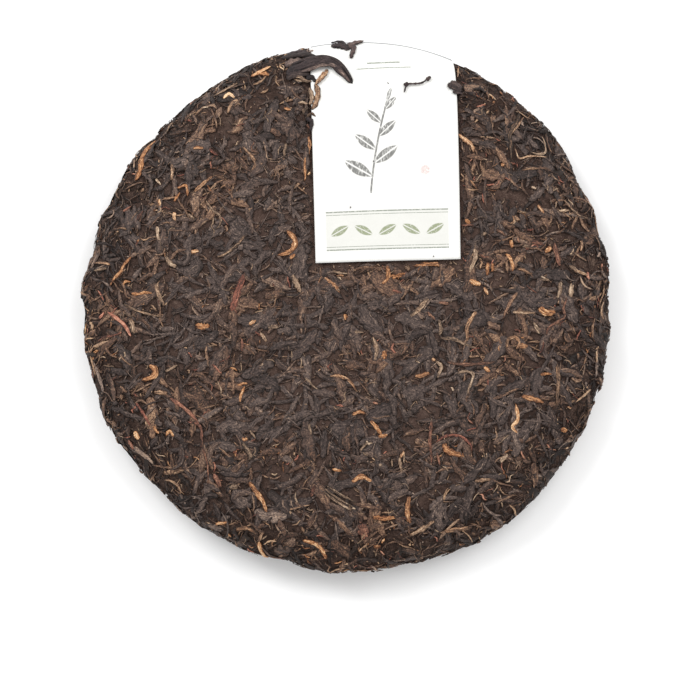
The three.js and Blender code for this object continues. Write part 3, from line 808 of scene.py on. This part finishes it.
TAN_STRANDS = [
    (1.5, (171, 164), (173, 172), (171, 181)), (1.2, (155, 178), (161, 185)), (1.2, (212, 97), (239, 84)),
    (1.4, (241, 146), (251, 155), (255, 164), (251, 171)), (1.6, (194, 192), (202, 185), (213, 176)),
    (1.4, (188, 214), (195, 220)), (1.0, (205, 199), (212, 209), (220, 216), (220, 224), (215, 230)),
    (1.2, (246, 234), (237, 245), (225, 254), (216, 257)), (1.3, (174, 122), (166, 133)),
    (1.0, (294, 80), (306, 82)), (1.6, (286, 143), (284, 158)), (1.6, (157, 226), (159, 241)),
    (1.2, (300, 183), (293, 189)), (1.0, (305, 157), (305, 182)), (1.2, (93, 263), (104, 263), (111, 265)),
    (1.4, (95, 271), (102, 269), (107, 268)), (2.0, (165, 256), (171, 264), (177, 267)),
    (2.0, (156, 282), (159, 295), (165, 307)), (1.0, (123, 304), (141, 312), (164, 318)),
    (2.4, (130, 319), (135, 334)), (1.8, (154, 392), (168, 393)), (1.8, (122, 394), (123, 400)),
    (1.2, (165, 372), (178, 365)), (1.7, (267, 327), (279, 327)), (1.6, (260, 332), (267, 342)),
    (1.3, (354, 332), (364, 332)), (2.2, (373, 335), (377, 350), (374, 362)),
    (1.6, (329, 376), (339, 376), (350, 381), (357, 393)), (0.9, (304, 377), (318, 390)),
    (1.2, (360, 451), (366, 444), (373, 443)), (1.1, (250, 430), (256, 439)),
    (1.8, (242, 442), (250, 454), (249, 461)), (1.0, (309, 423), (311, 435)),
    (1.6, (399, 457), (402, 473)), (1.4, (400, 458), (404, 451)), (1.8, (229, 487), (238, 487)),
    (2.2, (231, 530), (247, 528), (260, 534)), (1.0, (323, 487), (339, 499), (355, 508)),
    (1.0, (323, 491), (339, 503), (353, 511)), (1.0, (326, 485), (341, 495), (357, 503)),
    (1.8, (409, 536), (423, 528), (435, 520)), (2.4, (443, 532), (474, 528)), (1.6, (474, 481), (492, 479)),
    (1.6, (439, 319), (441, 329), (439, 336)), (1.5, (439, 338), (453, 339), (464, 344), (480, 350)),
    (2.2, (429, 298), (410, 318)), (2.4, (292, 274), (301, 293)), (1.0, (331, 271), (349, 274)),
    (1.4, (512, 312), (536, 313)), (2.2, (572, 283), (570, 299)), (1.8, (561, 281), (558, 299)),
    (1.2, (606, 301), (604, 312), (605, 320)), (1.5, (533, 322), (540, 334)),
    (1.4, (507, 349), (508, 340), (515, 337), (519, 343), (516, 350)), (2.4, (519, 346), (528, 346)),
    (1.3, (595, 347), (596, 363)), (1.6, (436, 360), (441, 367), (438, 379)),
    (1.4, (456, 374), (464, 371), (473, 374), (470, 385), (467, 396)),
    (1.8, (557, 363), (558, 382), (556, 405)), (2.0, (500, 462), (508, 454)), (0.9, (589, 407), (582, 419)),
    (1.3, (573, 270), (588, 276)), (1.2, (540, 278), (550, 281)), (2.0, (405, 266), (410, 270)),
    (1.5, (519, 112), (517, 121), (510, 133), (511, 144), (511, 162)),
    (0.9, (515, 147), (519, 159), (528, 157), (537, 156), (548, 158)),
    (0.9, (529, 151), (537, 154), (545, 153), (544, 142), (541, 136)), (0.9, (470, 180), (477, 189)),
    (1.0, (562, 200), (574, 212), (591, 220)), (1.3, (558, 211), (569, 211)), (1.3, (531, 187), (536, 189)),
    (2.0, (475, 248), (475, 258), (469, 274)), (1.4, (481, 235), (487, 233)), (1.2, (516, 268), (533, 274)),
    (1.6, (569, 265), (582, 275)), (1.3, (580, 241), (582, 244), (580, 252)), (1.1, (572, 252), (586, 262)),
]
PALE_FLECKS = [
    (1.0, (541, 277), (546, 279)), (0.8, (338, 277), (342, 280)), (0.7, (337, 290), (340, 290)),
    (0.8, (366, 441), (370, 445)), (1.0, (379, 464), (382, 466)), (0.7, (416, 361), (420, 363)),
    (0.8, (451, 387), (454, 391)), (0.7, (352, 508), (356, 509)),
]
RED_STRANDS = [
    (3.2, (245, 271), (235, 302), (232, 312)), (1.3, (209, 149), (218, 156)), (1.2, (226, 225), (227, 232)),
    (1.0, (138, 221), (143, 210)), (1.2, (122, 211), (131, 206)), (1.3, (99, 319), (105, 312)),
    (0.9, (99, 342), (104, 337), (116, 335), (122, 332)), (0.9, (212, 364), (222, 374)),
    (1.4, (242, 338), (242, 352)), (1.2, (373, 402), (378, 404)), (2.2, (214, 473), (221, 488)),
    (1.8, (130, 439), (135, 449)), (1.0, (201, 425), (203, 447), (208, 466), (208, 487)),
    (1.2, (186, 421), (199, 425), (202, 436), (201, 449)), (1.6, (169, 397), (188, 411), (200, 425)),
    (1.4, (136, 402), (151, 426)), (1.6, (107, 311), (125, 326), (131, 337)),
    (1.1, (427, 312), (435, 320)), (1.6, (518, 291), (509, 305), (502, 320)),
    (1.1, (567, 297), (563, 309), (564, 318), (549, 327), (546, 336)),
    (1.3, (445, 361), (467, 365), (498, 361)), (1.1, (578, 353), (578, 360)),
    (1.6, (432, 419), (430, 438), (432, 466)), (1.1, (437, 452), (440, 466)),
    (1.2, (435, 443), (446, 436), (460, 436), (470, 444), (472, 452)), (1.2, (392, 290), (402, 293)),
    (1.0, (394, 343), (392, 349), (396, 353)), (1.4, (311, 497), (315, 485)), (1.2, (366, 565), (374, 565)),
    (2.0, (531, 241), (545, 245)), (1.3, (517, 238), (519, 243)), (2.2, (554, 242), (560, 267)),
    (1.2, (586, 272), (588, 280)), (1.6, (496, 229), (506, 236)), (1.0, (461, 225), (474, 225)),
    (1.4, (474, 207), (477, 208)), (1.2, (585, 198), (588, 205)), (1.6, (438, 302), (449, 304)),
    (5.0, (362, 523), (366, 540)), (3.0, (359, 519), (363, 521)), (1.2, (307, 124), (310, 129)),
]

for name, seed, strands, tone, hue in (
    ("golden_strands", 31, GOLDEN_STRANDS, (0.65, 0.08), (0.85, 0.15)),
    ("tan_strands", 32, TAN_STRANDS, (0.56, 0.08), (0.2, 0.15)),
    ("pale_flecks", 34, PALE_FLECKS, (0.95, 0.08), (0.0, 0.05)),
):
    placed(name, gold_finish, seed, strands, "golden_stem", tone=tone, hue=hue)
placed("red_strands", red_finish, 33, RED_STRANDS, tone=(0.52, 0.1), hue=(0.5, 0.25))


def ticket_sheet():
    """The ticket: a fine sheet on the skin, with faint waves."""
    columns, rows = 54, 90
    shape = bmesh.new()
    bmesh.ops.create_grid(shape, x_segments=columns, y_segments=rows, size=0.5)
    places = corners(shape)
    across = (places[:, 0] + 0.5) * TICKET_WIDTH
    along = (places[:, 1] + 0.5) * TICKET_LENGTH
    run, turn = under_ticket(across, along)
    points, normals = on_skin(run, turn)
    bumps = np.array([noise.fractal(Vector(point) * 60, 0.9, 2.0, 3) for point in points])
    lift = PAPER_GAP + PAPER_THICKNESS / 2 + PAPER_WAVE * np.clip(bumps, -1, 1)
    points += normals * lift[:, None]
    for vertex, point in zip(shape.verts, points):
        vertex.co = point
    bmesh.ops.recalc_face_normals(shape, faces=shape.faces)
    layer = shape.loops.layers.uv.new("sheet")
    for face in shape.faces:
        for loop in face.loops:
            i = loop.vert.index
            loop[layer].uv = (across[i] / MM, along[i] / MM)
    piece = shaped("paper_ticket", shape)
    wall = piece.modifiers.new("wall", "SOLIDIFY")
    wall.thickness, wall.offset = PAPER_THICKNESS, 0
    return piece


# The marks on the ticket, in millimetres from its lower left corner: a sprig, a ruled band with a
# row of leaves, two short lines at the head and a faded red daub. The paper has painted shade, greyer
# from where it bends over the rim. A leaf is its length and width, and those of the sprig lose of it
# towards the tip. The sprig's stem bows by shares of its height and of the square of it.
SPRIG_FOOT, SPRIG_HEIGHT, SPRIG_LEAVES = (21, 25), 34, 6
SPRIG_BOW = (0.1, 0.003)
SPRIG_LEAF, SPRIG_LEAF_LOSS = (12, 4.4), (5.5, 2)
SPRIG_TIP, SPRIG_TIP_OFFSET, SPRIG_TIP_LEAN = (5.5, 1.5), (0.8, 2.4), math.radians(72)
BAND_LEFT, BAND_RIGHT, BAND_LOW, BAND_HIGH = 4.2, 49.2, 4.5, 18.5
BAND_LEAVES, BAND_LEAF, BAND_LEAF_LEAN = 5, (7.6, 3), math.radians(28)
BAND_LEAF_FIRST, BAND_LEAF_PITCH = (9.2, 11.5), 8.75
DAUB_PLACE = (41, 33)
BEND_SHADE_HEIGHTS = (RIM_HEIGHT + 4.6 * MM, RIM_HEIGHT + 3.2 * MM)

# The height, the two ends and the width of each ruled line.
RULES = (
    (BAND_LOW, BAND_LEFT, BAND_RIGHT, 0.5), (BAND_HIGH, BAND_LEFT, BAND_RIGHT, 0.5),
    (BAND_LOW + 1.1, BAND_LEFT, BAND_RIGHT, 0.22), (BAND_HIGH - 1.1, BAND_LEFT, BAND_RIGHT, 0.22),
    (74, 21, 33, 0.7), (71.8, 17, 37, 0.45),
)


def within(value, low, high):
    """1 between two values, and 0 outside them."""
    return (value > low) * (value < high)


def leaf_mark(across, along, middle, size, lean):
    """1 inside a pointed leaf with a bare midrib, of a length and width, that leans by an angle."""
    cos, sin = math.cos(lean), math.sin(lean)
    x, y = across - middle[0], along - middle[1]
    ahead = (x * cos + y * sin) / (size[0] / 2)
    aside = (y * cos - x * sin) / (size[1] / 2)
    reach = abs(aside) + ahead * ahead
    return reach.step(1.12, 0.88) * abs(aside).step(0.04, 0.2)


def stem_at(rise):
    """How far to the right of its foot the sprig's stem is at a height over the foot."""
    return rise * SPRIG_BOW[0] + rise * rise * SPRIG_BOW[1]


def sprig_mark(across, along):
    """A brushed sprig: a bowed stem with leaves by turns to its left and right, and a tip."""
    rise = along - SPRIG_FOOT[1]
    stem = abs(across - SPRIG_FOOT[0] - stem_at(rise))
    marks = [stem.step(0.5, 0.2) * within(rise, 0, SPRIG_HEIGHT)]
    for i in range(SPRIG_LEAVES):
        share = i / (SPRIG_LEAVES - 1)
        side = 1 if i % 2 else -1
        up = SPRIG_HEIGHT * (0.18 + 0.72 * share)
        length, width = (size - loss * share for size, loss in zip(SPRIG_LEAF, SPRIG_LEAF_LOSS))
        lean = math.pi / 2 - side * math.radians(58 - 16 * share)
        foot = SPRIG_FOOT[0] + stem_at(up)
        middle = (foot + math.cos(lean) * length / 2, SPRIG_FOOT[1] + up + math.sin(lean) * length / 2)
        marks.append(leaf_mark(across, along, middle, (length, width), lean))
    x = SPRIG_FOOT[0] + stem_at(SPRIG_HEIGHT) + SPRIG_TIP_OFFSET[0]
    y = SPRIG_FOOT[1] + SPRIG_HEIGHT + SPRIG_TIP_OFFSET[1]
    marks.append(leaf_mark(across, along, (x, y), SPRIG_TIP, SPRIG_TIP_LEAN))
    return reduce(Value.most, marks)


def rule_mark(across, along):
    """The ruled lines of the band and the head."""
    marks = []
    for height, left, right, width in RULES:
        line = abs(along - height).step(width * 0.75, width * 0.25)
        marks.append(line * within(across, left, right))
    return reduce(Value.most, marks)


def row_mark(across, along):
    """The row of leaves in the band, which lean up and down by turns."""
    marks = []
    for i in range(BAND_LEAVES):
        middle = (BAND_LEAF_FIRST[0] + i * BAND_LEAF_PITCH, BAND_LEAF_FIRST[1])
        lean = -BAND_LEAF_LEAN if i % 2 else BAND_LEAF_LEAN
        marks.append(leaf_mark(across, along, middle, BAND_LEAF, lean))
    return reduce(Value.most, marks)


def paper_finish():
    """White paper with fine fibres and faint dents, painted shade where it bends over the rim, and generic
    marks in pale inks.
    """
    finish = Finish("ticket_paper")
    place = finish.place()
    sheet = finish.node("UVMap", {"uv_map": "sheet"})
    across, along, _ = finish.parts(sheet)
    pulp = finish.noise(place, 1500, detail=3)
    dents = finish.noise(place, 170, detail=3, roughness=0.5)
    wear = finish.noise(sheet, 1.6, detail=4, roughness=0.7)
    brush = finish.scaled(sheet, (1.4, 0.5, 1))
    bristles = finish.noise(brush, 1.0, detail=4, roughness=0.7, distortion=0.8)

    paper = finish.ramp(pulp * 0.5 + dents * 0.5, ((0.3, 0xdfdeda), (0.7, 0xebeae7)))
    in_band = within(across, BAND_LEFT, BAND_RIGHT) * within(along, BAND_LOW, BAND_HIGH)
    colour = finish.mix(in_band * 0.6, paper, tint(0xcdcdc6))
    height = finish.parts(place)[2]
    # Painted shade: the paper turns grey below these heights, where it bends down over the rim.
    colour = finish.mix(height.step(*BEND_SHADE_HEIGHTS) * 0.9, colour, tint(0x74777a))

    ink = finish.ramp(bristles, ((0.35, 0x878783), (0.65, 0x3b3a39)))
    colour = finish.mix(sprig_mark(across, along) * bristles.step(0.3, 0.5) * 0.85, colour, ink)
    rules = rule_mark(across, along) * wear.step(0.3, 0.5) * 0.75
    colour = finish.mix(rules, colour, tint(0x5f6a58))
    row = row_mark(across, along) * wear.step(0.28, 0.5) * 0.75
    colour = finish.mix(row, colour, tint(0x6d7a45))
    x, y = across - DAUB_PLACE[0], along - DAUB_PLACE[1]
    daub = (x * x + y * y).step(3.4, 2.6) * wear.step(0.35, 0.6) * 0.35
    colour = finish.mix(daub, colour, tint(0xa8433a))
    return finish.surface(colour, 0.85, 0.2, finish.bump(pulp * 0.15 + dents, 0.6, 0.4 * MM))


ticket = finished(ticket_sheet(), paper_finish())
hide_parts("ticket")

# The loose leaves on the paper: width in millimetres, then the pixels of its line.
LOOSE_LEAVES = {
    "leaf_arching": [
        (4.6, (286, 73), (302, 68), (318, 65), (331, 65), (341, 72), (353, 84)),
        (2.0, (291, 67), (305, 63), (320, 61), (333, 62), (344, 70), (353, 82)),
        (2.0, (300, 74), (312, 71), (323, 68), (333, 68), (342, 75), (351, 84)),
    ],
    "leaf_at_rim": [
        (3.4, (331, 48), (340, 48), (350, 51)), (3.0, (345, 52), (353, 46), (364, 43)),
        (2.3, (353, 46), (353, 54), (350, 60)), (1.8, (331, 46), (341, 45), (349, 50)),
    ],
    "leaf_twisted": [
        (0.9, (404, 94), (407, 86), (415, 85), (422, 84), (428, 80)), (1.7, (404, 87), (408, 84)),
        (1.7, (426, 82), (430, 78)),
    ],
    "leaf_chip": [
        (3.2, (447, 86), (453, 88), (461, 93)), (2.6, (450, 83), (455, 86), (462, 90)),
        (1.4, (452, 93), (457, 94), (462, 95)),
    ],
}
ON_PAPER = {"top": 1.5, "bed": 0, "bottom": 0.6, "spring": 1, "rings": 26, "sides": 10}
for seed, (node, strands) in enumerate(LOOSE_LEAVES.items(), 41):
    bow = (1.0, 1.2) if node == "leaf_arching" else (0, 0.1)
    piece = placed(
        node + "_detail", loose_finish, seed, strands, "dark_leaf", **ON_PAPER, arch=bow,
        tone=(0.42, 0.05), hue=(0.7, 0.15), flatness=(0.3, 0.45), ragged=0.12, buckle=0.12,
    )
    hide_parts(node)

CORNER_STEM = [(1.8, (328, 71), (323, 78), (316, 86)), (0.9, (324, 73), (319, 80), (315, 86))]
piece = placed(
    "stem_at_corner_detail", gold_finish, 45, CORNER_STEM, "golden_stem", **ON_PAPER,
    tone=(0.5, 0.1), hue=(0.35, 0.1),
)
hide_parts("stem_at_corner")

# The leaves of the cake that lie over the ticket's left edge and upper left corner.
EDGE_LEAVES_DARK = [
    (3.4, (281, 60), (294, 57), (308, 56), (318, 59)), (2.6, (287, 56), (299, 53), (310, 54)),
    (0.9, (307, 55), (309, 50)), (0.9, (309, 54), (314, 52)), (2.8, (286, 80), (298, 75), (310, 75)),
    (2.4, (306, 80), (312, 78), (316, 83)), (1.4, (303, 66), (312, 62), (318, 60)),
    (4.2, (284, 66), (296, 63), (312, 62)), (3.6, (286, 76), (298, 71), (312, 68)),
    (1.6, (306, 118), (311, 122), (311, 132)),
]
EDGE_LEAVES_PALE = [
    (2.4, (315, 84), (318, 94), (316, 104), (311, 110)), (1.8, (309, 88), (312, 97), (310, 106)),
    (1.1, (306, 119), (311, 114), (316, 117)), (1.2, (293, 79), (300, 78), (306, 82), (312, 82)),
    (1.4, (303, 115), (305, 110), (309, 108)), (1.0, (298, 103), (308, 104)),
]
OVER_EDGE = {**ON_PAPER, "top": 1.05, "rings": 18, "flatness": (0.35, 0.5)}
placed("edge_leaves_dark", loose_finish, 51, EDGE_LEAVES_DARK, **OVER_EDGE, hue=(0.5, 0.2))
placed("edge_leaves_pale", gold_finish, 52, EDGE_LEAVES_PALE, **OVER_EDGE, hue=(0.2, 0.15))

# The specks of leaf that lie on the paper.
SPECKS = [
    (0.6, (387, 84), (389, 84)), (0.5, (373, 161), (374, 162)), (0.6, (350, 207), (351, 208)),
    (0.5, (433, 256), (434, 257)),
]
SPECK = {**ON_PAPER, "top": 1.0, "rings": 4, "sides": 5}
placed("specks", loose_finish, 53, SPECKS, **SPECK, tone=(0.3, 0.1))


def pale_floor():
    """The plain pale surface that the cake lies on."""
    shape = bmesh.new()
    bmesh.ops.create_grid(shape, x_segments=1, y_segments=1, size=3)
    floor = shaped("floor", shape)
    finish = Finish("pale_floor")
    grey = finish.ramp(finish.noise(finish.place(), 3, detail=2), ((0, 0xfafafa), (1, 0xfdfdfd)))
    floor.data.materials.append(finish.surface(grey, 0.9, 0.1))


def aim(thing, place, target):
    """Puts a camera or light at a place and turns it towards a target."""
    thing.location = place
    thing.rotation_euler = (Vector(target) - Vector(place)).to_track_quat("-Z", "Y").to_euler()


def camera():
    """Looks down on the face from where the photograph's frame puts it."""
    data = bpy.data.cameras.new("camera")
    data.lens, data.sensor_width, data.sensor_fit = LENS, SENSOR, "HORIZONTAL"
    data.clip_start, data.clip_end = 0.05, 20
    thing = shown("camera", data)
    aim(thing, VIEW_PLACE, VIEW_TARGET)
    bpy.context.scene.camera = thing


# How bright the white surround is, and each light's place, size and power.
SURROUND = 0.82
LIGHTS = {
    "left_key": ((-0.62, 0.6, 0.8), 0.55, 7),
    "right_key": ((0.6, 0.5, 0.8), 0.7, 5),
}


def studio():
    """Soft light: a white surround, a key from the upper left and a weaker one from the right."""
    world = bpy.data.worlds.new("studio")
    world.use_nodes = True
    background = world.node_tree.nodes["Background"].inputs
    background["Color"].default_value = (1, 1, 1, 1)
    background["Strength"].default_value = SURROUND
    bpy.context.scene.world = world
    for name, (place, size, power) in LIGHTS.items():
        data = bpy.data.lights.new(name, "AREA")
        data.shape, data.size, data.energy = "SQUARE", size, power
        aim(shown(name, data), place, (0, 0, 0))
    bpy.context.scene.view_settings.view_transform = "Standard"
    bpy.context.scene.view_settings.look = "None"


pale_floor()
camera()
studio()
